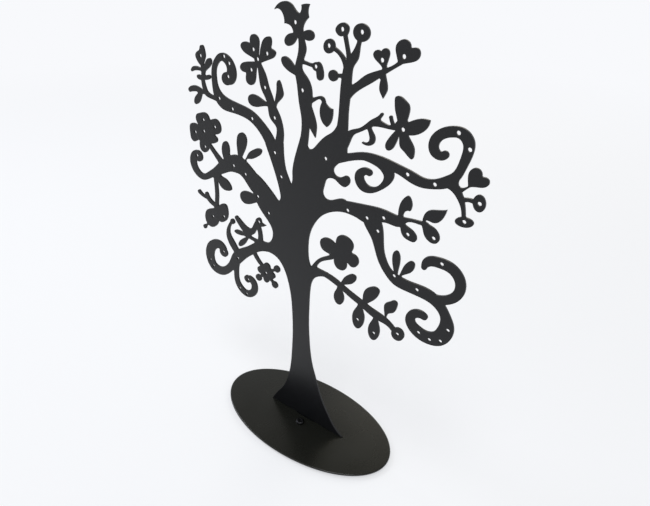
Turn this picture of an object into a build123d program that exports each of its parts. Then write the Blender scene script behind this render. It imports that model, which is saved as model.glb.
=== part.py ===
"""Jewellery tree for earrings: a flat laser-cut sheet-steel tree standing on an oval steel base plate.

The tree is one sheet. Its foot has two short tongues that drop into slots in the base, and between them a tab
that goes down through the base and is folded forward under it, where one screw from above holds it. A foam
mat under the base keeps it off the table and has a pocket for the tab.

Frame: X runs along the base, Y away from the front, Z up. The origin is on the table under the base's centre,
and the tree's sheet lies on the plane Y = 0. The tree is drawn from the front, as (x, z) in millimetres, and
the drawing is then lifted so that its level FOOT lies on the base's top.
"""

import os

from build123d import *

# Steel sheet of the tree
SHEET = 1.2
EARRING_HOLE = 2.0
LEAF_NECK = 1.5
CUT_CORNER = 0.6
SHORTEST_CUT_EDGE = 2.5 * CUT_CORNER
SHALLOWEST_DENT = CUT_CORNER / 10
SAME_POINT = CUT_CORNER / 100

# How full a leaf's curves are, as shares of the length they span and of the leaf's width
ROOT_HANDLE = 0.45
ROOT_FLARE = 0.05
POINT_HANDLES = (0.4, 0.25)
POINT_FLARE = 0.12
ROUND_HANDLE = 0.55
ROUND_FLARE = 0.28

# Base plate
BASE_LENGTH = 130.0
BASE_WIDTH = 69.0
BASE_THICKNESS = 1.5
BASE_EDGE_ROUND = 0.6

# Foam mat under the base, with a pocket for the tab
MAT_THICKNESS = 1.5
MAT_SETBACK = 1.5
POCKET_CLEARANCE = 0.5
POCKET_ROOM = 0.1

# Tongues and folded tab at the tree's foot
TONGUE_PITCH = 36.0
TONGUE_WIDTH = 8.0
TONGUE_SHORTFALL = 0.1
TAB_WIDTH = 15.0
TAB_DEPTH = 11.0
TAB_CORNER = 2.5
BEND_RADIUS = 0.3
FIT_CLEARANCE = 0.15

# Pan-head screw with a hexagon socket
SCREW_THREAD = 3.0
SCREW_HOLE_CLEARANCE = 0.2
SCREW_HEAD_DIAMETER = 5.6
SCREW_HEAD_HEIGHT = 1.9
SCREW_HEAD_ROUND = 0.9
SCREW_SOCKET = 2.0
SCREW_SOCKET_DEPTH = 1.1
SCREW_SETBACK = 6.6

# Levels, and the level of the trunk's foot in the tree's drawing
BASE_TOP = MAT_THICKNESS + BASE_THICKNESS
TAB_BOTTOM = MAT_THICKNESS - SHEET
FOOT = 1.4


def headings(points):
    """Unit directions of a smooth line at each of its points."""
    chords = [(b - a).normalized() for a, b in zip(points, points[1:])]
    inner = [(a + b).normalized() for a, b in zip(chords, chords[1:])]
    if not inner:
        return [chords[0], chords[0]]
    first = chords[0] * (2 * chords[0].dot(inner[0])) - inner[0]
    last = chords[-1] * (2 * chords[-1].dot(inner[-1])) - inner[-1]
    return [first, *inner, last]


def edge_through(points):
    """A smooth line through the points, or a straight one between two."""
    if len(points) > 2:
        Spline(*points)
    else:
        Line(*points)


def limb(*stations):
    """A band through (x, z, width) stations, square at its start in its parent and round at its far end."""
    points = [Vector(x, z) for x, z, _ in stations]
    along = headings(points)
    side = [h.rotate(Axis.Z, 90) * (width / 2) for h, (_, _, width) in zip(along, stations)]
    left = [p + s for p, s in zip(points, side)]
    right = [p - s for p, s in zip(points, side)]
    with BuildLine() as rim:
        edge_through(left)
        ThreePointArc(left[-1], points[-1] + along[-1] * side[-1].length, right[-1])
        edge_through(right[::-1])
        Line(right[0], left[0])
    make_face(rim.edges())


def leaf(root, tip, width, belly=0.65, pointed=False, neck=LEAF_NECK):
    """An even leaf or petal from root to tip, widest at the share belly of its length."""
    base, end = Vector(*root), Vector(*tip)
    along = (end - base).normalized()
    across = along.rotate(Axis.Z, 90)
    rise = along * ((end - base).length * belly)
    fall = (end - base) - rise
    with BuildLine() as rim:
        for hand in (1, -1):
            outward = across * (hand * width)
            foot = base + across * (hand * neck / 2)
            widest = base + rise + outward / 2
            swell = foot + rise * ROOT_HANDLE + outward * ROOT_FLARE
            Bezier(foot, swell, widest - rise * ROOT_HANDLE, widest)
            if pointed:
                leaving, arriving = POINT_HANDLES
                Bezier(widest, widest + fall * leaving, end - fall * arriving + outward * POINT_FLARE, end)
            else:
                Bezier(widest, widest + fall * ROUND_HANDLE, end + outward * ROUND_FLARE, end)
        Line(base + across * (neck / 2), base - across * (neck / 2))
    make_face(rim.edges())


def outline(*runs):
    """A closed shape whose runs of points are smooth curves that meet at corners."""
    with BuildLine() as rim:
        for run, following in zip(runs, (*runs[1:], runs[0])):
            edge_through(run)
            if run[-1] != following[0]:
                Line(run[-1], following[0])
    make_face(rim.edges())


def blade(*points):
    """An uneven leaf or petal: one smooth edge whose two ends are buried in its parent."""
    outline(points)


def heart(left_lobe, right_lobe):
    """A heart from its root to the notch along one lobe, and back along the other."""
    outline([*left_lobe, right_lobe[0]], right_lobe)


def bud(centre, long, short, turn=0):
    """A round or oval bud."""
    with Locations(centre):
        Ellipse(long / 2, short / 2, rotation=turn)


def inside_corners(face):
    """Corners where the outline turns into the sheet, between edges that are long enough to be rounded."""
    corners = ShapeList()
    for corner in face.vertices():
        edges = [edge for edge in face.edges() if corner in edge.vertices()]
        if min(edge.length for edge in edges) < SHORTEST_CUT_EDGE:
            continue
        beside = []
        for edge in edges:
            starts_here = (edge @ 0 - Vector(corner)).length < SAME_POINT
            reach = CUT_CORNER / 2 / edge.length
            beside.append(edge @ (reach if starts_here else 1 - reach))
        middle = (beside[0] + beside[1]) / 2
        dent = (middle - Vector(corner)).length
        if dent > SHALLOWEST_DENT and not face.is_inside(middle):
            corners.append(corner)
    return corners


def trunk():
    """The trunk and the roots of its limbs, down to the foot on the base."""
    outline(
        # left edge of the trunk, then the underside of the lower left limb
        [(-30, FOOT), (-23.4, 13), (-18.7, 21), (-15.5, 30), (-13.2, 40), (-11.6, 55), (-10.7, 72),
         (-10.9, 88), (-12, 101), (-14.2, 110.5), (-18, 119), (-22.5, 123.2), (-28, 124.5), (-34, 123.8),
         (-39, 121.8)],
        # right end of the gap around the small bird, then the underside of the middle left limb
        [(-38, 129.4), (-33.5, 130.2), (-29.5, 130.8), (-26.7, 133.3), (-25.2, 137), (-25.2, 140.5),
         (-26.8, 144), (-30, 147.5), (-33.5, 151), (-36.5, 155), (-39.2, 160.5), (-43, 165.3),
         (-46.5, 168.5)],
        # top of the middle left limb, the crotch, and the left edge of the upper left limb
        [(-44.5, 178), (-41, 175.2), (-36, 173.2), (-31, 170.3), (-26, 166.2), (-22.5, 163),
         (-20.3, 161.4), (-18.7, 163), (-18.6, 166.5), (-20.8, 174.5), (-24, 183), (-28.5, 193.5)],
        # right edge of the upper left limb, the crotch, and the left edge of the middle stem
        [(-16.1, 196), (-15.7, 187), (-14.3, 180.5), (-12.3, 176.3), (-10.8, 174.2), (-9.9, 176),
         (-9.7, 181), (-8.6, 188), (-6.5, 195), (-3.7, 203.6)],
        # right edge of the middle stem, the crotch, and the left edge of the right stem
        [(0.6, 204), (0, 200), (1.2, 197), (3.4, 197.5), (6, 200), (8.8, 203.3), (12, 206.3),
         (15.5, 208.8), (18, 212), (19, 218)],
        # right edge of the right stem
        [(24.4, 219), (24.6, 201)],
        # underside of the upper right limb, the gap with its bud, and the top of the middle right limb
        [(25, 196.2), (21, 194.3), (18.2, 191.8), (17, 189.5), (17.6, 187.5), (19.4, 186.5), (21.2, 186.5),
         (22.6, 187.2), (24, 188.1), (25.6, 188.3), (26.9, 187.2), (27.2, 185.4), (26.2, 183.3),
         (24.3, 182.1), (22.3, 182.4), (20.4, 183.4), (18.3, 184.6), (15.5, 184.7), (13, 183.3),
         (11.3, 178.8), (10.6, 175), (11.8, 172.7), (14.2, 172), (18, 173.2), (25, 174.8)],
        # the arch over the flower, down the trunk to the lower crotch
        [(26, 168.1), (20, 167), (14, 164.2), (9, 160), (5.4, 155), (3, 150), (1.6, 145), (1, 139),
         (1.1, 133), (1.8, 129), (3.3, 126.4), (4.8, 127.4)],
        # underside of the lower right limb and the right edge of the trunk
        [(15, 126.5), (15, 123.7)],
        [(15, 123.7), (10.5, 122.6), (6.5, 120), (4, 116), (2.7, 110), (2, 98), (1.7, 85), (2.2, 72),
         (3.3, 60), (5.2, 50), (8.4, 40), (13.4, 25.3), (18.5, 15.5), (23.3, 8), (31, FOOT)],
    )


def lower_left_limb():
    """Limb with a big curl, a small curl, a tendril and a flower on a stalk."""
    limb((-30, 127.3, 6), (-38, 124.8, 6.4), (-45, 119.6, 6.2), (-51, 115.3, 7.4), (-57, 109.5, 8.2),
         (-61.5, 103, 6), (-66.5, 97.3, 5.6), (-73, 93.6, 6.3), (-79.5, 94.6, 7.2), (-82.6, 100.5, 7.4),
         (-81.4, 108, 7.2), (-77, 113, 6.6), (-72, 114.2, 6.2), (-69.2, 112.2, 5.8))
    bud((-69, 109.8), 7.2, 7)
    limb((-55, 112, 6), (-57.8, 105, 4.6), (-58.5, 97.5, 3.8), (-58, 91, 4.3), (-55.2, 86.8, 5),
         (-50.8, 84.7, 5), (-46, 86.3, 5), (-42.8, 91, 5), (-43.2, 95.6, 5), (-46.3, 97.6, 4.8))
    bud((-48.6, 96.8), 5.4, 5.4)
    limb((-55.5, 113, 4.6), (-58.5, 117, 5.2), (-61, 120.5, 5.2), (-63, 125, 3.6), (-62.8, 129, 2.4),
         (-61, 133, 1.8), (-59.2, 135.6, 2))
    bud((-58.5, 135.9), 3.6, 3.6)
    limb((-42, 121.5, 3), (-39.5, 116.6, 2.8), (-36, 113, 2.6), (-33, 110.5, 2.4))
    heart_of_flower = (-32.2, 108)
    for tip, width in (((-30.5, 115.6), 5.4), ((-39, 109), 5), ((-31.9, 100.9), 4.6), ((-24.6, 108), 4.6)):
        leaf(heart_of_flower, tip, width, neck=3)
    for stamen in ((-22.9, 114.4), (-38.5, 102), (-25, 101.9)):
        limb((*heart_of_flower, 2), (*stamen, 1.8))
        bud(stamen, 4.8, 4.8)


def small_bird():
    """Bird on a twig above the lower left limb."""
    limb((-37, 142.2, 3.4), (-39.5, 138, 3.2), (-42.5, 134, 4.2), (-47, 133.5, 5.2), (-51.5, 136.6, 4.2),
         (-54.6, 139.6, 3))
    bud((-36.3, 143), 5.4, 4.4, 60)
    outline([(-36, 144.8), (-33.2, 142.6), (-30.4, 142)], [(-30.4, 142), (-33, 140.5), (-36, 139.8)])
    limb((-37, 141, 3), (-35.9, 137, 3), (-35.4, 133, 3.2), (-36.4, 128, 4))
    limb((-36, 128.5, 3), (-42.5, 129.1, 2), (-48, 130.2, 3))
    leaf((-46.5, 130), (-57.4, 129.6), 3)
    leaf((-45.5, 129.3), (-54.2, 120.2), 3.8)


def middle_left_limb():
    """Limb with leaves, a curl, the stalk of the left flower and a hanging stem."""
    limb((-36, 166, 12), (-42, 171, 10.5), (-47.5, 174.8, 10.6), (-52.5, 175.6, 11), (-58, 173.8, 8.8),
         (-63.5, 170.6, 7.4), (-69.5, 166.5, 5.2), (-76, 162.4, 4.2), (-82, 160, 4.2), (-87, 162.3, 5),
         (-89.4, 167.4, 5.4), (-88.2, 171.8, 5.4), (-85.8, 173.8, 5.2))
    bud((-84.2, 173), 7.2, 7.2)
    leaf((-49.3, 178), (-45.3, 195.6), 7.2, belly=0.74, neck=2)
    blade((-46.8, 178.5), (-43.2, 182), (-41.3, 185), (-37.5, 187.8), (-33.8, 189.2), (-31.7, 188.6),
          (-32, 186.8), (-34.4, 184.4), (-37.5, 182.5), (-40, 181.6), (-42.6, 181), (-43.9, 179.8),
          (-44.2, 177))
    leaf((-60.8, 174), (-59.3, 187.7), 6, belly=0.6, neck=2)
    leaf((-34, 158), (-50.2, 155.3), 8.2, belly=0.73, neck=3)
    blade((-69, 165), (-68.1, 160.5), (-66.4, 157.6), (-63.1, 156.1), (-60, 156.4), (-57.6, 157.5),
          (-57.6, 159.6), (-59.3, 162), (-61.6, 163.5), (-64.5, 164.2), (-67, 165.5))
    limb((-61.5, 171, 5), (-66.2, 175.4, 3.6), (-70, 179, 2.8), (-75, 184, 3))
    limb((-70, 166, 4), (-70.5, 158, 2.8), (-70.7, 150, 2.8), (-71.5, 145, 2.8), (-72, 139, 3),
         (-71, 133.5, 2))
    blade((-72.3, 142), (-70, 142.8), (-68.4, 144.6), (-66, 145.9), (-63.4, 145.8), (-62.2, 143.3),
          (-62.2, 139), (-63.5, 135.6), (-66.5, 133), (-69.6, 132.2), (-71.6, 133.6))
    leaf((-72.5, 141.5), (-80.8, 126.2), 11.6, belly=0.55)
    limb((-80, 128.5, 2.4), (-82.8, 125.7, 1.5), (-84.2, 124.5, 2))
    bud((-84.8, 123.8), 3, 3)
    limb((-71.5, 142.6, 2.6), (-76, 143.8, 3), (-79, 146.2, 3.2), (-80, 148.6, 2.8))
    limb((-79, 146, 2), (-83.5, 146.6, 2), (-86.6, 148.4, 2.8))


def left_flower():
    """Five-petalled flower on the middle left limb."""
    bud((-77, 189.5), 12, 12)
    blade((-79.8, 192), (-82.3, 195), (-82.8, 197.4), (-81.8, 199.4), (-79, 200.7), (-75.2, 201.5),
          (-73, 200.7), (-71.6, 198), (-73, 192))
    blade((-74, 196), (-70.9, 198.1), (-68.8, 198.9), (-66.3, 199.4), (-64, 198.3), (-62.7, 195.6),
          (-62.9, 192.9), (-64.7, 190.9), (-67.5, 190.1), (-70.5, 189.6), (-75, 189))
    blade((-74, 190), (-69.8, 189.6), (-67.8, 189), (-66.2, 187.7), (-66.4, 186), (-67.9, 184.8),
          (-70, 184), (-72.5, 184), (-75, 186))
    blade((-75.5, 186), (-74.3, 182.6), (-74.4, 179.8), (-75.9, 177.6), (-78.4, 176.7), (-80.8, 177.7),
          (-81.7, 180), (-81.5, 182.6), (-80.5, 186))
    blade((-79.5, 185), (-81.6, 184), (-83.8, 182.8), (-86.5, 181.8), (-88.6, 183), (-89.2, 186.3),
          (-89.2, 189.5), (-88.3, 192.2), (-85.5, 193.4), (-82.5, 193.1), (-79.5, 193))


def upper_left_limb():
    """Limb with a curl, a leafy sprig, a clover of hearts and leaves."""
    limb((-22.5, 189, 7), (-26.2, 196.6, 6.8), (-32, 202.6, 6), (-38, 206.4, 6),
         (-45, 208.2, 6), (-52, 209, 6.6), (-58, 210, 7.6), (-62.4, 213.3, 6.4), (-64.3, 218, 4.2),
         (-64.7, 223, 3.4), (-64.2, 227.5, 3.2), (-62, 231.7, 3.3), (-57.5, 234.7, 4.2), (-53, 233, 5.2),
         (-50.9, 228, 6.4), (-52.6, 224.2, 6.8))
    bud((-54.6, 223.8), 8, 7, 20)
    limb((-60, 210.5, 6), (-67.5, 211.8, 2.4), (-72, 213.4, 3), (-73.5, 217, 2.6), (-73.9, 221, 2),
         (-72.9, 225, 2.8), (-73.8, 229.4, 2.2))
    blade((-74.6, 228.2), (-77.3, 231), (-77.9, 233.2), (-76.3, 235.2), (-74.3, 236.6), (-73.4, 238.6),
          (-71.8, 238.9), (-70.6, 236.6), (-70.3, 233.6), (-71.3, 231), (-73, 228.2))
    leaf((-72.6, 225), (-66.2, 232.5), 3.8, belly=0.7)
    limb((-72.8, 225.6, 1.8), (-77, 226, 2), (-80.3, 225.6, 2.4), (-82, 224.5, 1.6))
    leaf((-73.4, 220.7), (-78.4, 221.8), 2.6)
    leaf((-73.4, 221), (-67.4, 223), 2.6)
    limb((-71.5, 213.6, 2.4), (-76, 213.3, 2.2))
    limb((-74.5, 213, 2), (-78, 214.2, 2.8), (-82, 214.3, 3.4), (-85.4, 213, 2.6))
    leaf((-75.5, 213.8), (-82.2, 205.6), 4)
    limb((-18.6, 189, 4.6), (-18.6, 197, 5), (-17.9, 201, 4.4), (-18.2, 204.5, 4.2), (-21.2, 209.3, 6.6),
         (-23.2, 214, 5.2), (-24.8, 218.5, 4.6), (-27.5, 223.5, 5.2), (-29, 229, 4.6), (-30.8, 234, 2.4),
         (-32, 237, 2))
    blade((-21.5, 213.5), (-20.6, 218.5), (-19.9, 221.3), (-19.4, 225), (-19.1, 227.6), (-18.1, 228.6),
          (-17, 227.4), (-15.9, 224.4), (-15.4, 221.8), (-16, 220.3), (-17.6, 218.5), (-20.5, 213.5))
    leaf((-25, 214.8), (-39.7, 215.6), 6.4, belly=0.75)
    bud((-31.7, 236.8), 4.4, 4.4)
    heart([(-32, 235.8), (-35.2, 237.3), (-38.8, 238.4), (-41.5, 239.8), (-43, 242.2), (-41.5, 244),
           (-38, 244.3)],
          [(-35.9, 243.9), (-36.3, 246.5), (-35, 248.3), (-32.8, 248.5), (-30.9, 247), (-30.6, 243.5),
           (-31.2, 239.5), (-31.4, 235.6)])
    heart([(-31, 235.4), (-30.2, 239), (-29.3, 242.8), (-27.6, 246.5), (-25, 248.4), (-22.9, 248.3),
           (-22.3, 246.8)],
          [(-23.4, 243.2), (-21.5, 242.8), (-19.8, 241.6), (-20.4, 239.7), (-23.5, 237.8), (-27.5, 236.2),
           (-31, 234.6)])
    heart([(-31.5, 236), (-36, 235.2), (-40, 234.6), (-43.4, 233), (-44.2, 231), (-42.9, 229.6)],
          [(-39.6, 229.9), (-40.4, 227), (-40, 224.4), (-38, 223.2), (-35.7, 223.6), (-34.3, 225.5),
           (-33.4, 230), (-31, 235)])


def middle_stem():
    """Stem with hanging leaves and the bird on top."""
    limb((-4.6, 188, 7), (-2.8, 196, 5.4), (-1.3, 205, 4.5), (-0.9, 212, 5), (-1.2, 220, 7.6),
         (-1.5, 226, 8.6), (-3.2, 231, 7), (-5.4, 236, 4.2), (-4.2, 241, 3.6), (-3, 245.5, 4.2),
         (-3.8, 250, 3), (-5, 256, 5))
    leaf((-4.5, 232), (-15.7, 239.8), 5.2, belly=0.7)
    limb((-5, 239, 2), (-1, 239.2, 1.6), (3, 238.7, 1.8), (6, 239, 3.8), (7.4, 236.5, 4),
         (7.6, 234.2, 3.8))
    bud((5.1, 238.4), 4, 4)
    leaf((0.4, 221), (5.3, 203.8), 4.6, belly=0.6, pointed=True, neck=2.5)
    limb((0, 221.5, 3), (5, 223.2, 1.8), (8.8, 224.2, 1.8), (10.2, 222, 2))
    outline([(9.2, 222.5), (7.9, 217.5), (8.6, 214.3), (12.4, 210.7)],
            [(12.4, 210.7), (14.6, 213.5), (15.5, 217), (15.5, 220)],
            [(15.5, 220), (13, 220.7), (11, 222.5)])
    leaf((-5, 252.2), (-13.4, 246.6), 5.2)
    leaf((-4.5, 251.4), (3.9, 251.9), 4.8, belly=0.66)
    outline(
        [(-19.7, 261.1), (-17, 263.9), (-12.5, 265.2), (-9, 264), (-6.6, 261.6), (-4.4, 260.7)],
        [(-4.4, 260.7), (-3.6, 261.8), (-3.4, 264.4)],
        [(-3.4, 264.4), (-1, 265), (1.1, 264.9)],
        [(1.1, 264.9), (0.2, 262.6), (0.6, 259.3)],
        [(0.6, 259.3), (-1.6, 257), (-2.7, 254.6), (-2.4, 252)],
        [(-7.4, 250.4), (-8.3, 252.6), (-9.2, 254.3), (-11, 255.3), (-13.6, 255.5)],
        [(-13.6, 255.5), (-13.9, 258.4), (-15.2, 260.6), (-19.7, 261.1)],
    )


def right_stem():
    """Stem with three buds on top, and a branch with two hearts."""
    limb((20, 205, 8), (21.4, 212, 6.2), (21.8, 220, 5.2), (22.4, 230, 5.6), (23, 238, 5), (24, 242, 4.6),
         (26.4, 245.4, 4.2), (27.9, 249.5, 2.4), (29.2, 254, 2.2))
    limb((23, 239, 3), (23.2, 246, 2), (22, 250.5, 1.8), (20.8, 255, 2))
    limb((22.5, 239, 3), (19.8, 244.8, 2), (17, 246.9, 1.8), (13.5, 248, 2.2))
    bud((29.6, 255.9), 8.6, 7.6)
    blade((20, 253.5), (17.2, 253.8), (15.9, 255.6), (17.8, 258.4), (20.8, 259), (22.8, 257.6),
          (22.6, 255), (21.6, 253.4))
    bud((12.6, 248.4), 6.8, 6, 50)
    limb((21.5, 236.6, 1.8), (15.5, 235.7, 1.8))
    bud((15.2, 235.7), 5.4, 5.2)
    limb((22.5, 225, 3), (25.6, 230.4, 4), (30, 233.8, 3.8), (33.5, 236.4, 4.4), (37, 238.5, 4),
         (41, 240.7, 2.8), (45, 242.9, 1.8), (49.5, 246, 2))
    heart([(48.8, 245.4), (47.4, 249.5), (47, 252.5), (48.5, 254.8), (51.3, 255.6), (53.2, 254.6)],
          [(53.8, 252.4), (55.5, 252.9), (57.3, 252.8), (58.5, 251), (57.8, 248.5), (55.3, 247),
           (50, 245.2)])
    heart([(41.6, 241), (40.2, 243.9), (37.6, 245.7), (36.2, 248), (37.2, 249.6), (39, 249.9)],
          [(40.2, 249.3), (41, 250.7), (42.8, 251), (44, 249.8), (44, 247.5), (43.2, 244.8), (43, 241.5)])
    leaf((42, 241), (42.6, 229.8), 4, belly=0.6, pointed=True)


def butterfly_twig():
    """Twig with a hooked tendril and a butterfly at its end."""
    limb((21.5, 202, 5), (24.2, 207.6, 4.8), (27.5, 211.3, 2.8), (31, 213, 2), (35, 215.6, 2.4),
         (38.6, 218.3, 3.2), (41, 220.6, 2), (42.6, 222.7, 1.5))
    limb((37.5, 217.6, 3), (42, 218.3, 3), (46, 217.7, 1.8), (50, 218.4, 3))
    limb((36.4, 216.6, 2.2), (37, 214, 2), (38.3, 211.6, 2.8), (38.2, 208.9, 2.8), (36, 207.4, 1.6),
         (33.4, 207.5, 0.8))
    limb((50, 217.5, 2), (48.3, 219.8, 1.6), (47.3, 222.3, 1.6))
    bud((53, 218), 8, 6, -60)
    blade((51.2, 218.5), (50.7, 222), (49.3, 225.8), (48.7, 229.5), (49, 231.8), (50.8, 232.3),
          (53.8, 230.9), (55.8, 229.2), (56.3, 226.4), (55.6, 222.6), (55.2, 218.5))
    outline([(54, 219), (56, 221.6), (59, 223.4), (62.5, 224.6), (66.5, 224.6)],
            [(66.5, 224.6), (66, 221.8), (63.5, 218.6), (60.5, 216.9), (56.5, 216.2), (54, 217)])
    blade((56.2, 216.6), (58.8, 213.2), (60.3, 210.8), (60.7, 208), (59.9, 205.5), (58.1, 206.2),
          (55.6, 208.2), (53.5, 209.8), (52.7, 212.6), (52, 216.6))
    leaf((52.5, 218.6), (46.7, 207), 4.4, belly=0.75, neck=2)


def upper_right_limb():
    """Limb with a curl under it, a big curl on top, a heart and two oval buds."""
    limb((19, 196.5, 6), (25, 198.1, 4), (32, 200.4, 3.9), (40, 201.2, 4.2), (47, 200.2, 5),
         (54, 199, 4.6), (60, 197.3, 5.4), (66, 195.9, 5), (72, 196.6, 4.6), (78, 199.3, 5.4),
         (82.1, 203.5, 4.4), (84, 208.5, 4.1), (85.2, 213.4, 4.6), (85, 218.8, 5.2), (81.5, 222, 5),
         (77, 221.9, 4.8), (72.4, 219.8, 4.8), (69.6, 215.6, 4.8), (70.4, 211.6, 4.6), (73, 210.3, 4),
         (75.3, 211.2, 3.8))
    limb((31, 200.2, 3), (36.5, 200.9, 4.2), (41, 200.3, 4.6), (45, 198.9, 5), (47.8, 197, 5.8),
         (48.8, 195, 5.7), (48.2, 191.8, 4.2), (46.3, 189, 3.1), (44.2, 187, 2.6), (39.6, 184.8, 3.4),
         (35.6, 185.2, 4.9), (33, 187.8, 5.3), (32.7, 190.9, 4.9), (34.8, 193.2, 4), (38.1, 193.4, 3.4))
    outline([(82.9, 203.4), (83.4, 201.6), (83.3, 200.2), (83.7, 198.9), (84.6, 198.4), (86, 198.7),
             (87.2, 199.5), (88.4, 201)],
            [(89.4, 200.4), (88.2, 199.2), (87, 198), (85.9, 196.7), (84.5, 195.8), (80, 198)])
    heart([(87.9, 199.6), (87.3, 202.8), (87.2, 206), (88.4, 208.2), (90.8, 208.9), (92.7, 207.5)],
          [(92.9, 205.3), (94.6, 205.8), (96.3, 205), (96.6, 203), (95, 201.4), (91.5, 200.6),
           (88.5, 199.6)])
    limb((75, 197.8, 4), (79.6, 198.2, 3.6), (82.8, 196.6, 3.6), (85.2, 193.7, 3), (87, 190, 2.1),
         (87.8, 187, 1.8), (88.3, 184, 2))
    limb((86, 192.6, 2.4), (89, 193.8, 1.8), (92, 193.6, 2))
    bud((94, 193.6), 8, 5.8, 100)
    bud((88.8, 182.8), 8.8, 4.9, 8)


def middle_right_limb():
    """Limb that splits into a leafy twig and a long S with two curls."""
    limb((20, 170.6, 6), (27, 171.4, 6.8), (33, 171.4, 8.2), (38, 171, 10), (49, 173.2, 6.6),
         (57, 173, 5.4), (61, 175, 2.2), (67, 175.7, 1.8), (71, 175.8, 2))
    outline([(56.3, 173), (55.9, 180), (56.6, 183.1), (58.1, 185.9), (60.1, 187.4), (61.9, 185.6),
             (62.6, 182.5), (62, 180.1)],
            [(62, 180.1), (59.8, 179.4), (58.8, 178), (59, 173.5)])
    outline([(69, 175), (69.2, 180), (70.5, 182.6), (75, 184.6), (80.1, 186.3)],
            [(80.1, 186.3), (79, 182), (77, 179), (74.5, 177.9), (71, 178.1), (70.3, 175.5)])
    leaf((69, 176.5), (77.6, 168.2), 7.2, belly=0.6, neck=2.5)
    blade((57.8, 173), (58, 169), (58.8, 167), (60.5, 165.3), (62.8, 164.6), (64.8, 164.4), (66.4, 165),
          (66.9, 167), (65.6, 169.3), (63.1, 170.9), (60, 172.2), (58.5, 174))
    limb((38, 172.5, 6), (42, 167.4, 10.2), (45.4, 160, 7.2), (47.3, 153, 5.2), (49.9, 146.9, 4.8),
         (53.5, 142.4, 4.9), (58.2, 139.6, 6.4), (65, 138.5, 6.4), (72, 138.4, 6.8), (79, 137.2, 6.6),
         (84.2, 133.8, 5.6), (87.4, 129.4, 5.6), (88.9, 124.6, 7.6), (88.2, 119, 8.8), (84.8, 114, 8.4),
         (79, 112.2, 7.6), (72.6, 114, 7), (68.9, 118.6, 5.6), (70, 122.8, 5), (73.4, 124.7, 4.8),
         (76.2, 124.3, 4.2))
    limb((79, 137.5, 5), (87, 139.4, 5), (92, 145.5, 5.2), (91.6, 152.5, 5.4), (86.5, 157.4, 5.6),
         (80, 158.2, 5.6), (75, 157, 5.2), (72.7, 152.9, 3))
    leaf((57.9, 141), (56.9, 156.5), 4.4, belly=0.72)
    blade((59, 141.5), (60.9, 146.3), (61.9, 149.4), (63.8, 152.4), (65.8, 153.6), (67.3, 152.9),
          (67.7, 151), (67.2, 148.8), (65.9, 146.9), (63.4, 145), (60.5, 142))


def lower_right_limb():
    """Low limb with leaves along both sides and a bud at its end."""
    limb((5, 124.4, 4), (12, 125.1, 3.2), (20, 123.4, 3.6), (26, 121, 3.4), (32, 118.4, 3.8),
         (38, 116.2, 4), (44, 113.7, 4.6), (50, 112, 5), (55, 110.8, 3.8), (59.5, 108, 3))
    bud((62.7, 106), 8.8, 7.6, 70)
    blade((22.5, 121.5), (25.2, 125.6), (26.6, 128.4), (29.4, 131.2), (32, 132.4), (33.9, 131.8),
          (34.2, 129.8), (33.1, 127.5), (30.6, 125.4), (28.1, 124.2), (24, 121.5))
    blade((38.6, 115), (39.3, 119), (39.5, 122.5), (40.7, 126.3), (43.8, 129.1), (47, 130.1), (49, 129),
          (48.9, 125.8), (47.2, 122.5), (44.4, 119.4), (40.5, 115.5))
    blade((53, 110.5), (53.6, 116), (53, 119.5), (53.3, 122.3), (56.3, 125), (58.6, 126.5), (60.2, 126),
          (60.6, 123.5), (60.1, 121), (58.9, 118.8), (56.5, 117.2), (55.2, 115.3), (55.4, 110.5))
    leaf((23.6, 121), (23.4, 108.6), 6.8, belly=0.6, neck=2.5)
    leaf((37.9, 116), (36.7, 97.7), 7.8, belly=0.58, neck=2)
    leaf((48.4, 112), (47.5, 94.6), 7.3, belly=0.62, neck=2)


def arch_flower():
    """Four-petalled flower on a stalk under the arch."""
    limb((4.5, 124.5, 4), (6.8, 129.5, 2.4), (10, 133.4, 2.3), (14.5, 136.3, 2.4), (18, 138.5, 3))
    bud((22.5, 142.5), 11, 11)
    blade((19.6, 144), (20.2, 149.5), (21.4, 152.7), (23.8, 154.1), (26.9, 154.1), (30, 152.5),
          (31.3, 150), (30.9, 147.2), (28.5, 143.5))
    blade((28, 145.4), (30.3, 145.2), (32.5, 145), (34.6, 143.4), (35.1, 140.6), (33.5, 137.8),
          (30.9, 137), (28.5, 138.4), (25, 140))
    blade((27, 140), (27.7, 136.3), (26.8, 133.5), (24.2, 132.2), (21.2, 132.9), (19.7, 134.9),
          (19.4, 138.5))
    blade((20, 146.8), (16.3, 148.9), (12.5, 148.7), (10.1, 146.9), (9.7, 144), (11.4, 141), (14.4, 140),
          (18.5, 139))


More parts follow.
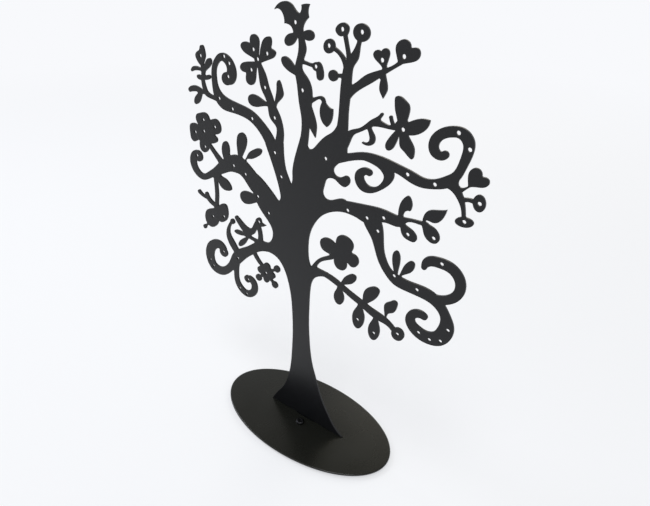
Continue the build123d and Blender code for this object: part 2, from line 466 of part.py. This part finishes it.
EARRING_HOLES = [
    # clover, lens leaf and the limb under them
    (-34.4, 241.3), (-25.3, 240.4), (-31.7, 236.9), (-36.5, 231), (-27.5, 223.4), (-21.5, 208.7),
    (-37.6, 205.2),
    # upper left curl and sprig
    (-55.8, 235.2), (-52.3, 232), (-53.7, 225), (-74, 233.2), (-61.8, 212), (-52, 207.8),
    # middle stem and right stem
    (-7.2, 256.6), (-3, 226), (5.1, 238.4), (12.4, 248.6), (19.5, 256.3), (29.8, 256.2), (40.8, 246),
    (51.2, 248.8), (12, 194.3),
    # butterfly and upper right limb
    (54, 218), (80, 222), (86, 216), (58.5, 197.8), (72.5, 196.6), (94.2, 193.5), (88.8, 183),
    # middle right limb
    (26.7, 169.7), (38.5, 169), (48, 172), (62, 167.5), (75.5, 170), (45.3, 163.7), (57, 141.5),
    (70.5, 138.5), (81.5, 158), (90, 122), (74.5, 113), (81, 111.5), (87, 113.5),
    # lower right limb
    (36.8, 103.8), (48, 99.5), (62.5, 106),
    # upper left trunk, left flower and middle left limb
    (-22, 189.5), (-17.8, 176.5), (-77, 190), (-76.5, 197), (-67.3, 194.5), (-84.5, 188), (-77.3, 180.4),
    (-54.2, 174), (-45, 171), (-85.2, 173), (-36, 159.5), (-28, 151), (-76, 134), (-66, 137),
    # lower left limb and the eye of the small bird
    (-36, 142.8), (-56, 110), (-48, 96.5), (-50, 84.3), (-56, 86.5), (-80, 95), (-32, 108), (-82.5, 99),
    (-69, 110),
]


with BuildPart() as tree_panel:
    with BuildSketch(Plane.XZ.shift_origin((0, 0, BASE_TOP - FOOT))) as tree_drawing:
        trunk()
        lower_left_limb()
        small_bird()
        middle_left_limb()
        left_flower()
        upper_left_limb()
        middle_stem()
        right_stem()
        butterfly_twig()
        upper_right_limb()
        middle_right_limb()
        lower_right_limb()
        arch_flower()
        fillet(inside_corners(tree_drawing.face()), radius=CUT_CORNER)
        with Locations(*EARRING_HOLES):
            Circle(EARRING_HOLE / 2, mode=Mode.SUBTRACT)
        # tongues
        with GridLocations(TONGUE_PITCH, 1, 2, 1):
            with Locations((0, FOOT)):
                Rectangle(TONGUE_WIDTH, 2 * (BASE_THICKNESS - TONGUE_SHORTFALL))
    extrude(amount=SHEET / 2, both=True)
    # the tab comes down out of the sheet and turns forward under the base
    with BuildSketch(Plane.YZ):
        bend_centre = (-SHEET / 2 - BEND_RADIUS, MAT_THICKNESS + BEND_RADIUS)
        with BuildLine():
            inner = CenterArc(bend_centre, BEND_RADIUS, 270, 90)
            outer = CenterArc(bend_centre, BEND_RADIUS + SHEET, 270, 90)
            Polyline(inner @ 1, (-SHEET / 2, BASE_TOP + SHEET), (SHEET / 2, BASE_TOP + SHEET), outer @ 1)
            Polyline(inner @ 0, (-TAB_DEPTH, MAT_THICKNESS), (-TAB_DEPTH, TAB_BOTTOM), outer @ 0)
        make_face()
    extrude(amount=TAB_WIDTH / 2, both=True)
    fillet(tree_panel.edges().filter_by(Axis.Z).group_by(Axis.Y)[0], radius=TAB_CORNER)
    with Locations((0, -SCREW_SETBACK, MAT_THICKNESS)):
        Hole((SCREW_THREAD + SCREW_HOLE_CLEARANCE) / 2, depth=SHEET)
tree_panel.part.label = "tree_panel"

with BuildPart() as base_plate:
    with BuildSketch(Plane.XY.offset(MAT_THICKNESS)):
        Ellipse(BASE_LENGTH / 2, BASE_WIDTH / 2)
    extrude(amount=BASE_THICKNESS)
    fillet(base_plate.edges(), radius=BASE_EDGE_ROUND)
    with BuildSketch(Plane.XY.offset(MAT_THICKNESS)):
        with GridLocations(TONGUE_PITCH, 1, 2, 1):
            Rectangle(TONGUE_WIDTH + 2 * FIT_CLEARANCE, SHEET + 2 * FIT_CLEARANCE)
        # the tab's slot reaches further forward, to clear its bend
        with Locations((0, -BEND_RADIUS / 2)):
            Rectangle(TAB_WIDTH + 2 * FIT_CLEARANCE, SHEET + BEND_RADIUS + 2 * FIT_CLEARANCE)
        with Locations((0, -SCREW_SETBACK)):
            Circle((SCREW_THREAD + SCREW_HOLE_CLEARANCE) / 2)
    extrude(amount=BASE_THICKNESS, mode=Mode.SUBTRACT)
base_plate.part.label = "base_plate"

with BuildPart() as foot_screw:
    with Locations((0, -SCREW_SETBACK, BASE_TOP)):
        Cylinder(SCREW_HEAD_DIAMETER / 2, SCREW_HEAD_HEIGHT, align=(Align.CENTER, Align.CENTER, Align.MIN))
    fillet(foot_screw.edges().group_by(Axis.Z)[-1], radius=SCREW_HEAD_ROUND)
    with BuildSketch(Plane.XY.offset(BASE_TOP + SCREW_HEAD_HEIGHT)):
        with Locations((0, -SCREW_SETBACK)):
            RegularPolygon(SCREW_SOCKET / 2, 6, major_radius=False)
    extrude(amount=-SCREW_SOCKET_DEPTH, mode=Mode.SUBTRACT)
    with Locations((0, -SCREW_SETBACK, TAB_BOTTOM)):
        Cylinder(SCREW_THREAD / 2, BASE_TOP - TAB_BOTTOM, align=(Align.CENTER, Align.CENTER, Align.MIN))
foot_screw.part.label = "foot_screw"

with BuildPart() as base_mat:
    with BuildSketch():
        Ellipse(BASE_LENGTH / 2 - MAT_SETBACK, BASE_WIDTH / 2 - MAT_SETBACK)
    extrude(amount=MAT_THICKNESS)
    with BuildSketch(Plane.XY.offset(MAT_THICKNESS)):
        with Locations((0, (SHEET / 2 - TAB_DEPTH) / 2)):
            Rectangle(TAB_WIDTH + 2 * POCKET_CLEARANCE, TAB_DEPTH + SHEET / 2 + 2 * POCKET_CLEARANCE)
    extrude(amount=-SHEET - POCKET_ROOM, mode=Mode.SUBTRACT)
base_mat.part.label = "base_mat"

os.makedirs("parts", exist_ok=True)
export_step(tree_panel.part, "parts/tree_panel.step")
export_step(base_plate.part, "parts/base_plate.step")
export_step(foot_screw.part, "parts/foot_screw.step")
export_step(base_mat.part, "parts/base_mat.step")
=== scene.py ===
"""Earring holder: a flat powder-coated steel tree on an oval plate, dressed around its CAD model."""

import logging
import math
from dataclasses import dataclass
from enum import Enum
from typing import Any

import bmesh
import bpy
from mathutils import Matrix, Vector, kdtree


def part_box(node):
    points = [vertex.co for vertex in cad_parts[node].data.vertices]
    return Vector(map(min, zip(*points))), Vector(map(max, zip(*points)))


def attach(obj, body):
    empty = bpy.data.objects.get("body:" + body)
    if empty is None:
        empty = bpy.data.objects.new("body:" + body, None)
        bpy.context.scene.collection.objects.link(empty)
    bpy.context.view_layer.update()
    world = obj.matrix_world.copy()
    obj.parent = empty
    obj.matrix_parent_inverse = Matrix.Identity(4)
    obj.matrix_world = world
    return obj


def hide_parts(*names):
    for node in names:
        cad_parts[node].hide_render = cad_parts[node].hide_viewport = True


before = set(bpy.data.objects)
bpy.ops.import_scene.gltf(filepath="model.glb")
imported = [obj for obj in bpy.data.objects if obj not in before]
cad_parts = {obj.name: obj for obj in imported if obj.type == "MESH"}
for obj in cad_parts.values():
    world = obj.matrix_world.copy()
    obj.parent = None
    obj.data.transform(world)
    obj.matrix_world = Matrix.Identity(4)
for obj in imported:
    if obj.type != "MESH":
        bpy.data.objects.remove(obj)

log = logging.getLogger("earring_holder")

MM = 0.001
PHOTO_WIDTH = 650

# Points of a copied mesh that lie closer than this are one point.
SAME_POINT = 0.001 * MM

# Edges of a copied mesh that are shorter than this are dropped.
SLIVER = 0.002 * MM

# How strongly a large flat facet sets the shading at its corners, in per cent.
FLAT_FACET_WEIGHT = 100

# A wave texture of scale 1 turns through this many radians per unit of length.
WAVE_RADIANS = 20.0

# The middle range of a noise texture, where almost all of its values lie.
NOISE_LOW = 0.3
NOISE_HIGH = 0.7


class Body(Enum):
    """The CAD bodies that pieces ride on."""

    ROOT = "root"


class Node(Enum):
    """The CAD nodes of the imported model."""

    TREE = "tree_panel"
    PLATE = "base_plate"
    SCREW = "foot_screw"
    MAT = "base_mat"


class Slot(Enum):
    """The record's material slots for the pieces that replace a node."""

    TREE = "tree_powder_coat"
    SCREW = "screw_steel"


def linear(hex_colour: str) -> tuple[float, float, float, float]:
    """Turns an sRGB hex colour to linear light.

    Args:
        hex_colour: Six hex digits after a hash sign.

    Returns:
        Red, green, blue and an alpha of 1.
    """
    parts = [int(hex_colour[i:i + 2], 16) / 255 for i in (1, 3, 5)]
    red, green, blue = (p / 12.92 if p <= 0.04045 else ((p + 0.055) / 1.055) ** 2.4 for p in parts)
    return red, green, blue, 1.0


def per_metre(size_mm: float) -> float:
    """Gives the texture scale that repeats a pattern every size_mm on Object coordinates."""
    return 1.0 / (size_mm * MM)


def add_node(
    tree: bpy.types.NodeTree,
    kind: str,
    settings: dict[str, Any] | None = None,
    values: dict[Any, Any] | None = None,
    links: dict[Any, bpy.types.NodeSocket] | None = None,
) -> bpy.types.Node:
    """Adds one node with its settings, socket values and links.

    Args:
        tree: The node tree that gets the node.
        kind: The node's type name.
        settings: Node properties by name.
        values: Input socket values by socket name or number.
        links: Output sockets to link, by input socket name or number.

    Returns:
        The new node.
    """
    node = tree.nodes.new(kind)
    for name, value in (settings or {}).items():
        setattr(node, name, value)
    for name, value in (values or {}).items():
        node.inputs[name].default_value = value
    for name, socket in (links or {}).items():
        tree.links.new(socket, node.inputs[name])
    return node


def new_material(name: str) -> tuple[bpy.types.Material, bpy.types.NodeTree]:
    """Makes an empty node material.

    Args:
        name: The material's name.

    Returns:
        The material and its node tree.
    """
    material = bpy.data.materials.new(name)
    material.use_nodes = True
    material.node_tree.nodes.clear()
    return material, material.node_tree


@dataclass(frozen=True)
class PowderCoat:
    """Black polyester powder coat, sprayed on steel as dust and baked to a film.

    To the eye it is an even, very dark film that mirrors pale surroundings softly, with a faint orange
    peel and fine flecks of pigment. Over rough laser-cut edges it is duller. Sizes are in millimetres. The
    real peel and flecks are about 0.5 mm and 0.1 mm across, and are drawn coarser, so that they show.
    """

    name: str
    colour: str
    fleck_colour: str
    roughness_low: float
    roughness_high: float
    specular: float
    peel_mm: float
    peel_depth_mm: float
    fleck_mm: float = 0.9
    cloud_mm: float = 28.0

    def material(self) -> bpy.types.Material:
        """Builds the node material of this finish.

        Returns:
            The material.
        """
        material, tree = new_material(self.name)
        where = add_node(tree, "ShaderNodeTexCoord").outputs["Object"]
        peel = add_node(tree, "ShaderNodeTexNoise",
                        values={"Scale": per_metre(self.peel_mm), "Detail": 1.0},
                        links={"Vector": where})
        cloud = add_node(tree, "ShaderNodeTexNoise",
                         values={"Scale": per_metre(self.cloud_mm), "Detail": 3.0},
                         links={"Vector": where})
        fleck = add_node(tree, "ShaderNodeTexNoise",
                         values={"Scale": per_metre(self.fleck_mm), "Detail": 2.0},
                         links={"Vector": where})
        tone = add_node(tree, "ShaderNodeMix", {"data_type": "RGBA"},
                        {"A": linear(self.colour), "B": linear(self.fleck_colour)},
                        {"Factor": fleck.outputs["Fac"]})
        gloss = add_node(tree, "ShaderNodeMapRange",
                         values={"From Min": NOISE_LOW, "From Max": NOISE_HIGH,
                                 "To Min": self.roughness_low, "To Max": self.roughness_high},
                         links={"Value": cloud.outputs["Fac"]})
        bump = add_node(tree, "ShaderNodeBump",
                        values={"Strength": 1.0, "Distance": self.peel_depth_mm * MM},
                        links={"Height": peel.outputs["Fac"]})
        coat = add_node(tree, "ShaderNodeBsdfPrincipled",
                        values={"IOR": 1.5, "Specular IOR Level": self.specular},
                        links={"Base Color": tone.outputs["Result"], "Roughness": gloss.outputs["Result"],
                               "Normal": bump.outputs["Normal"]})
        add_node(tree, "ShaderNodeOutputMaterial", links={"Surface": coat.outputs["BSDF"]})
        return material


@dataclass(frozen=True)
class BlackOxide:
    """Black-oxide steel, turned and then blackened in a hot bath.

    To the eye it is a near-black metal with an oily gleam, fine turning rings on the head and blotches
    that are paler where the bath took less. Sizes are in millimetres. The real rings are about 0.1 mm apart
    and are drawn coarser, so that they show.
    """

    name: str
    colour: str
    worn_colour: str
    roughness: float
    ring_mm: float
    ring_depth_mm: float
    blotch_mm: float = 1.4

    def material(self, centre: Vector) -> bpy.types.Material:
        """Builds the node material of this finish.

        Args:
            centre: A point on the turning axis, in metres.

        Returns:
            The material.
        """
        material, tree = new_material(self.name)
        where = add_node(tree, "ShaderNodeTexCoord").outputs["Object"]
        on_axis = add_node(tree, "ShaderNodeMapping", {"vector_type": "POINT"}, {"Location": -centre},
                           {"Vector": where})
        rings = add_node(tree, "ShaderNodeTexWave",
                         {"wave_type": "RINGS", "rings_direction": "Z", "wave_profile": "SIN"},
                         {"Scale": per_metre(self.ring_mm) * math.tau / WAVE_RADIANS,
                          "Distortion": 0.4, "Detail": 1.0},
                         {"Vector": on_axis.outputs["Vector"]})
        blotch = add_node(tree, "ShaderNodeTexNoise",
                          values={"Scale": per_metre(self.blotch_mm), "Detail": 3.0},
                          links={"Vector": where})
        tone = add_node(tree, "ShaderNodeMix", {"data_type": "RGBA"},
                        {"A": linear(self.colour), "B": linear(self.worn_colour)},
                        {"Factor": blotch.outputs["Fac"]})
        bump = add_node(tree, "ShaderNodeBump",
                        values={"Strength": 1.0, "Distance": self.ring_depth_mm * MM},
                        links={"Height": rings.outputs["Fac"]})
        steel = add_node(tree, "ShaderNodeBsdfPrincipled",
                         values={"Metallic": 1.0, "Roughness": self.roughness},
                         links={"Base Color": tone.outputs["Result"], "Normal": bump.outputs["Normal"]})
        add_node(tree, "ShaderNodeOutputMaterial", links={"Surface": steel.outputs["BSDF"]})
        return material


@dataclass(frozen=True)
class FoamSheet:
    """Closed-cell EVA foam, skived from a block: dull black with the small pits of its cut cells, each pit
    painted darker towards its bottom as painted shade.
    """

    name: str
    colour: str
    # The colour at each pit's rim; the darker pit bottoms are painted shade.
    lit_pit_rim_colour: str
    cell_mm: float
    cell_depth_mm: float
    roughness: float
    specular: float = 0.25

    def material(self) -> bpy.types.Material:
        """Builds the node material of this finish.

        Returns:
            The material.
        """
        material, tree = new_material(self.name)
        where = add_node(tree, "ShaderNodeTexCoord").outputs["Object"]
        cells = add_node(tree, "ShaderNodeTexVoronoi", {"feature": "F1"},
                         {"Scale": per_metre(self.cell_mm)}, {"Vector": where})
        # Painted shade: each cell pit goes from the base colour at its bottom to the lighter rim colour,
        # following the same depth that the bump uses.
        tone = add_node(tree, "ShaderNodeMix", {"data_type": "RGBA"},
                        {"A": linear(self.colour), "B": linear(self.lit_pit_rim_colour)},
                        {"Factor": cells.outputs["Distance"]})
        bump = add_node(tree, "ShaderNodeBump",
                        values={"Strength": 1.0, "Distance": self.cell_depth_mm * MM},
                        links={"Height": cells.outputs["Distance"]})
        foam = add_node(tree, "ShaderNodeBsdfPrincipled",
                        values={"Roughness": self.roughness, "Specular IOR Level": self.specular},
                        links={"Base Color": tone.outputs["Result"], "Normal": bump.outputs["Normal"]})
        add_node(tree, "ShaderNodeOutputMaterial", links={"Surface": foam.outputs["BSDF"]})
        return material


@dataclass(frozen=True)
class PaleFloor:
    """White matt paper, made as a smooth sheet with no gloss.

    To the eye it is an even pale ground. What is seen of it is partly plain white, more so far from the
    object, so shadows stay faint. Distances are in metres.
    """

    name: str
    colour: str
    glow_colour: str
    near_share: float = 0.55
    far_share: float = 1.0
    near: float = 0.2
    far: float = 1.3

    def material(self) -> bpy.types.Material:
        """Builds the node material of this finish.

        Returns:
            The material.
        """
        material, tree = new_material(self.name)
        ray = add_node(tree, "ShaderNodeLightPath")
        seen = add_node(tree, "ShaderNodeMath", {"operation": "MAXIMUM"},
                        links={0: ray.outputs["Is Camera Ray"], 1: ray.outputs["Is Glossy Ray"]})
        seen = add_node(tree, "ShaderNodeMath", {"operation": "MAXIMUM"},
                        links={0: seen.outputs[0], 1: ray.outputs["Is Transmission Ray"]})
        where = add_node(tree, "ShaderNodeTexCoord").outputs["Object"]
        away = add_node(tree, "ShaderNodeVectorMath", {"operation": "LENGTH"}, links={0: where})
        glow_share = add_node(tree, "ShaderNodeMapRange", {"interpolation_type": "SMOOTHSTEP"},
                              {"From Min": self.near, "From Max": self.far,
                               "To Min": self.near_share, "To Max": self.far_share},
                              {"Value": away.outputs["Value"]})
        share = add_node(tree, "ShaderNodeMath", {"operation": "MULTIPLY"},
                         links={0: seen.outputs[0], 1: glow_share.outputs["Result"]})
        paper = add_node(tree, "ShaderNodeBsdfDiffuse", values={"Color": linear(self.colour)})
        glow = add_node(tree, "ShaderNodeEmission",
                        values={"Color": linear(self.glow_colour), "Strength": 1.0})
        mixed = add_node(tree, "ShaderNodeMixShader",
                         links={"Fac": share.outputs[0], 1: paper.outputs["BSDF"],
                                2: glow.outputs["Emission"]})
        add_node(tree, "ShaderNodeOutputMaterial", links={"Surface": mixed.outputs["Shader"]})
        return material


def merged_copy(node: Node) -> bmesh.types.BMesh:
    """Copies a CAD node's mesh, with the points that its faces share joined into one.

    Args:
        node: The CAD node to copy.

    Returns:
        The copy, which the caller frees.
    """
    form = bmesh.new()
    form.from_mesh(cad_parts[node.value].data)
    bmesh.ops.remove_doubles(form, verts=form.verts, dist=SAME_POINT)
    return form


def new_piece(form: bmesh.types.BMesh, name: str, node: Node) -> bpy.types.Object:
    """Turns a finished form into a smooth-shaded piece at the origin that stands in for a CAD node.

    Args:
        form: The form, which is freed.
        name: The piece's name.
        node: The CAD node that the piece replaces.

    Returns:
        The piece.
    """
    bmesh.ops.recalc_face_normals(form, faces=form.faces)
    for face in form.faces:
        face.smooth = True
    mesh = bpy.data.meshes.new(name)
    form.to_mesh(mesh)
    form.free()
    piece = bpy.data.objects.new(name, mesh)
    bpy.context.scene.collection.objects.link(piece)
    weighted = piece.modifiers.new("flat_faces_stay_flat", "WEIGHTED_NORMAL")
    weighted.keep_sharp = True
    weighted.weight = FLAT_FACET_WEIGHT
    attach(piece, Body.ROOT.value)
    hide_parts(node.value)
    return piece


def dress_piece(piece: bpy.types.Object, slot: Slot, *materials: bpy.types.Material) -> None:
    """Gives a new piece its materials.

    Args:
        piece: The new piece.
        slot: The record's slot; not used.
        materials: Its finishes, in the order of its facets' material numbers.
    """
    piece.data.materials.clear()
    for material in materials:
        piece.data.materials.append(material)


def dress_node(node: Node, material: bpy.types.Material) -> bpy.types.Object:
    """Puts a material on a CAD node that stays as it is.

    Args:
        node: The CAD node.
        material: Its finish.

    Returns:
        The node's object.
    """
    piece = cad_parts[node.value]
    for place in piece.material_slots:
        place.material = material
    return piece


@dataclass
class TreePanel:
    """The tree: one laser-cut steel sheet, coated after cutting, with a folded tab at its foot."""

    finish: PowderCoat
    edge_finish: PowderCoat
    edge_round: float = 0.1 * MM
    edge_tilt: float = math.cos(math.radians(45.0))

    @staticmethod
    def sheet_face(form: bmesh.types.BMesh, level: float) -> list[bmesh.types.BMFace]:
        """Gives the facets that lie on one face of the sheet, at the level y."""
        return [f for f in form.faces if all(abs(v.co.y - level) < SAME_POINT for v in f.verts)]

    def renew_walls(self, form: bmesh.types.BMesh, half: float, foot: float) -> None:
        """Replaces the cut edges above the foot by one row of facets from the front to the back.

        Args:
            form: The sheet.
            half: Half the sheet's thickness.
            foot: The level z of the trunk's foot.
        """
        front = set(self.sheet_face(form, -half))
        faces = front.union(self.sheet_face(form, half))
        walls = {f for f in form.faces if f not in faces
                 and min(v.co.z for v in f.verts) > foot - SAME_POINT
                 and max(v.co.z for v in f.verts) > foot + SAME_POINT}
        behind = kdtree.KDTree(len(form.verts))
        for vert in form.verts:
            if abs(vert.co.y - half) < SAME_POINT:
                behind.insert(vert.co, vert.index)
        behind.balance()
        form.verts.ensure_lookup_table()
        to_back = Vector((0.0, 2 * half, 0.0))
        rows = []
        for edge in form.edges:
            if len(front.intersection(edge.link_faces)) == 1 and walls.intersection(edge.link_faces):
                twins = [form.verts[behind.find(v.co + to_back)[1]] for v in edge.verts]
                rows.append((*edge.verts, *reversed(twins)))
        bmesh.ops.delete(form, geom=list(walls), context="FACES")
        between = [v for v in form.verts if v.is_boundary and abs(v.co.y) < half - SAME_POINT]
        bmesh.ops.dissolve_verts(form, verts=between)
        for row in rows:
            form.faces.new(row)

    def round_edges(self, form: bmesh.types.BMesh, half: float) -> None:
        """Rounds the edges of both faces over in two steps of 45 degrees.

        Args:
            form: The sheet.
            half: Half the sheet's thickness.
        """
        along = self.edge_round * math.cos(math.radians(45.0))
        for level in (-half, half):
            face = self.sheet_face(form, level)
            inward = -math.copysign(1.0, level)
            strips = [bmesh.ops.inset_region(form, faces=face, use_boundary=True, use_even_offset=True,
                                             thickness=width)
                      for width in (self.edge_round - along, along)]
            outer, inner = ({v for f in strip["faces"] for v in f.verts} for strip in strips)
            for vert in outer - inner:
                vert.co.y = level + inward * self.edge_round
            for vert in outer & inner:
                vert.co.y = level + inward * (self.edge_round - along)

    def mark_cut_edges(self, form: bmesh.types.BMesh, foot: float) -> None:
        """Gives the cut edges above the foot the second material number, and all else the first.

        Args:
            form: The sheet.
            foot: The level z of the trunk's foot.
        """
        form.normal_update()
        for face in form.faces:
            is_cut = abs(face.normal.y) < self.edge_tilt and face.calc_center_median().z > foot
            face.material_index = int(is_cut)

    def build(self) -> bpy.types.Object:
        """Builds the sheet with its cut edges rounded by the coat, and dresses it.

        Returns:
            The sheet.
        """
        form = merged_copy(Node.TREE)
        half = max(v.co.y for v in form.verts)
        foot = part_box(Node.PLATE.value)[1].z
        self.renew_walls(form, half, foot)
        self.round_edges(form, half)
        self.mark_cut_edges(form, foot)
        sheet = new_piece(form, "tree_sheet", Node.TREE)
        dress_piece(sheet, Slot.TREE, self.finish.material(), self.edge_finish.material())
        return sheet


@dataclass
class Foot:
    """The foot: the oval steel plate, the screw for the tree's tab, and the foam mat underneath."""

    plate_finish: PowderCoat
    screw_finish: BlackOxide
    mat_finish: FoamSheet
    screw_round: float = 0.12 * MM
    sharp_angle: float = math.radians(40.0)
    facet_angle: float = math.radians(1.0)
    round_steps: int = 2
    most_sides: int = 4

    def build_screw(self) -> bpy.types.Object:
        """Builds the screw with the edges of its head and socket broken, and dresses it.

        Returns:
            The screw.
        """
        low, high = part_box(Node.SCREW.value)
        form = merged_copy(Node.SCREW)
        bmesh.ops.dissolve_limit(form, angle_limit=self.facet_angle, verts=form.verts, edges=form.edges,
                                 delimit=set())
        sharp = [e for e in form.edges if e.calc_face_angle(0.0) > self.sharp_angle]
        bmesh.ops.bevel(form, geom=sharp, affect="EDGES", offset_type="OFFSET", offset=self.screw_round,
                        segments=self.round_steps, profile=0.5, clamp_overlap=True, material=-1)
        bmesh.ops.dissolve_degenerate(form, edges=form.edges, dist=SLIVER)
        bmesh.ops.triangulate(form, faces=[f for f in form.faces if len(f.verts) > self.most_sides])
        screw = new_piece(form, "tab_screw", Node.SCREW)
        dress_piece(screw, Slot.SCREW, self.screw_finish.material((low + high) / 2))
        return screw

    def dress_plate(self) -> bpy.types.Object:
        """Gives the CAD plate its satin powder coat, and returns it."""
        return dress_node(Node.PLATE, self.plate_finish.material())

    def dress_mat(self) -> bpy.types.Object:
        """Gives the CAD mat its foam, and returns it."""
        return dress_node(Node.MAT, self.mat_finish.material())


@dataclass(frozen=True)
class Softbox:
    """A square soft lamp that faces a point. Lengths are in metres."""

    name: str
    place: tuple[float, float, float]
    side: float
    watts: float
    colour: str
    aim: tuple[float, float, float] = (0.0, 0.0, 0.1)

    def build(self) -> bpy.types.Object:
        """Adds the lamp to the scene.

        Returns:
            The lamp's object.
        """
        lamp = bpy.data.lights.new(self.name, "AREA")
        lamp.shape = "SQUARE"
        lamp.size = self.side
        lamp.energy = self.watts
        lamp.color = linear(self.colour)[:3]
        piece = bpy.data.objects.new(self.name, lamp)
        piece.location = self.place
        away = Vector(self.place) - Vector(self.aim)
        piece.rotation_euler = away.to_track_quat("Z", "Y").to_euler()
        bpy.context.scene.collection.objects.link(piece)
        return piece


@dataclass
class Studio:
    """The plain pale floor, the soft lamps, and pale walls under a dim, warmer ceiling."""

    floor_finish: PaleFloor
    lamps: tuple[Softbox, ...]
    floor_side: float = 12.0
    wall_colour: str = "#f8f9fc"
    ceiling_colour: str = "#858273"
    wall_top: float = math.sin(math.radians(34.0))
    ceiling_edge: float = math.sin(math.radians(53.0))

    def build_floor(self) -> bpy.types.Object:
        """Builds the floor just under the object.

        Returns:
            The floor.
        """
        form = bmesh.new()
        bmesh.ops.create_grid(form, x_segments=1, y_segments=1, size=self.floor_side / 2)
        mesh = bpy.data.meshes.new("pale_floor")
        form.to_mesh(mesh)
        form.free()
        mesh.materials.append(self.floor_finish.material())
        floor = bpy.data.objects.new("pale_floor", mesh)
        bpy.context.scene.collection.objects.link(floor)
        return floor

    def build_sky(self) -> bpy.types.World:
        """Builds the surroundings, which light the object evenly from all round.

        Returns:
            The world.
        """
        world = bpy.data.worlds.new("pale_surroundings")
        bpy.context.scene.world = world
        world.use_nodes = True
        tree = world.node_tree
        tree.nodes.clear()
        where = add_node(tree, "ShaderNodeTexCoord").outputs["Generated"]
        height = add_node(tree, "ShaderNodeSeparateXYZ", links={"Vector": where}).outputs["Z"]
        upward = add_node(tree, "ShaderNodeMapRange", {"interpolation_type": "SMOOTHSTEP"},
                          {"From Min": self.wall_top, "From Max": self.ceiling_edge}, {"Value": height})
        tone = add_node(tree, "ShaderNodeMix", {"data_type": "RGBA"},
                        {"A": linear(self.wall_colour), "B": linear(self.ceiling_colour)},
                        {"Factor": upward.outputs["Result"]})
        sky = add_node(tree, "ShaderNodeBackground", values={"Strength": 1.0},
                       links={"Color": tone.outputs["Result"]})
        add_node(tree, "ShaderNodeOutputWorld", links={"Surface": sky.outputs["Background"]})
        return world

    def build(self) -> None:
        """Builds floor, sky and lamps."""
        log.info("stage %s", self.build_floor().name)
        log.info("sky %s", self.build_sky().name)
        for lamp in self.lamps:
            log.info("lamp %s", lamp.build().name)


@dataclass(frozen=True)
class PhotoCamera:
    """The photograph's camera: place in metres, angles in degrees, focal length in pixels."""

    place: tuple[float, float, float] = (0.16289, -0.21141, 0.29451)
    yaw: float = -35.36
    pitch: float = 30.71
    roll: float = 1.408
    focal_pixels: float = 540.0
    sensor_width: float = 36.0
    nearest: float = 0.01

    def build(self) -> bpy.types.Object:
        """Adds the camera and makes it the scene's camera.

        Returns:
            The camera's object.
        """
        yaw, pitch, roll = (math.radians(a) for a in (self.yaw, self.pitch, self.roll))
        forward = Vector((math.sin(yaw), math.cos(yaw), 0.0))
        ahead = forward * math.cos(pitch) - Vector((0.0, 0.0, math.sin(pitch)))
        level = Vector((math.cos(yaw), -math.sin(yaw), 0.0))
        upright = level.cross(ahead)
        right = level * math.cos(roll) + upright * math.sin(roll)
        up = upright * math.cos(roll) - level * math.sin(roll)
        turn = Matrix((right, up, -ahead)).transposed().to_4x4()
        lens = bpy.data.cameras.new("photo_camera")
        lens.sensor_fit = "HORIZONTAL"
        lens.sensor_width = self.sensor_width
        lens.lens = self.focal_pixels * self.sensor_width / PHOTO_WIDTH
        lens.clip_start = self.nearest
        camera = bpy.data.objects.new("photo_camera", lens)
        camera.matrix_world = Matrix.Translation(self.place) @ turn
        bpy.context.scene.collection.objects.link(camera)
        bpy.context.scene.camera = camera
        return camera


TREE_COAT = PowderCoat(
    name="matt_black_powder_coat",
    colour="#0a0b0e",
    fleck_colour="#101114",
    roughness_low=0.31,
    roughness_high=0.37,
    specular=0.33,
    peel_mm=1.2,
    peel_depth_mm=0.004,
)
CUT_EDGE_COAT = PowderCoat(
    name="dull_black_powder_coat",
    colour="#0a0b0e",
    fleck_colour="#101114",
    roughness_low=0.76,
    roughness_high=0.84,
    specular=0.06,
    peel_mm=0.8,
    peel_depth_mm=0.004,
)
PLATE_COAT = PowderCoat(
    name="satin_black_powder_coat",
    colour="#0f100d",
    fleck_colour="#151613",
    roughness_low=0.24,
    roughness_high=0.30,
    specular=0.39,
    peel_mm=1.4,
    peel_depth_mm=0.003,
)
SCREW_STEEL = BlackOxide(
    name="black_oxide_turned_steel",
    colour="#26272a",
    worn_colour="#38383a",
    roughness=0.36,
    ring_mm=0.35,
    ring_depth_mm=0.006,
)
MAT_FOAM = FoamSheet(
    name="closed_cell_eva_foam",
    colour="#131313",
    # Lighter pit rims over painted shade in the pit bottoms.
    lit_pit_rim_colour="#202020",
    cell_mm=0.35,
    cell_depth_mm=0.06,
    roughness=0.85,
)
FLOOR_PAPER = PaleFloor(name="white_matt_paper", colour="#eceef2", glow_colour="#f8f9fc")

LAMPS = (
    Softbox(name="window_side", place=(-1.0, -0.1, 0.95), side=0.36, watts=5.0, colour="#f3f7ff"),
    Softbox(name="overhead", place=(0.1, -0.35, 1.2), side=0.36, watts=5.0, colour="#ffffff"),
    Softbox(name="back_wall", place=(-0.2, 1.0, 0.66), side=0.6, watts=2.2, colour="#fff8e6"),
)


def main() -> None:
    """Builds the pieces in order, then the studio and the camera."""
    logging.basicConfig(level=logging.INFO, format="%(name)s: %(message)s")
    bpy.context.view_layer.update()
    bpy.context.scene.view_settings.view_transform = "Standard"
    PhotoCamera().build()
    foot = Foot(PLATE_COAT, SCREW_STEEL, MAT_FOAM)
    tree = TreePanel(TREE_COAT, CUT_EDGE_COAT)
    for piece in (tree.build(), foot.build_screw(), foot.dress_plate(), foot.dress_mat()):
        log.info("piece %s, %d faces", piece.name, len(piece.data.polygons))
    Studio(FLOOR_PAPER, LAMPS).build()


if __name__ == "__main__":
    main()
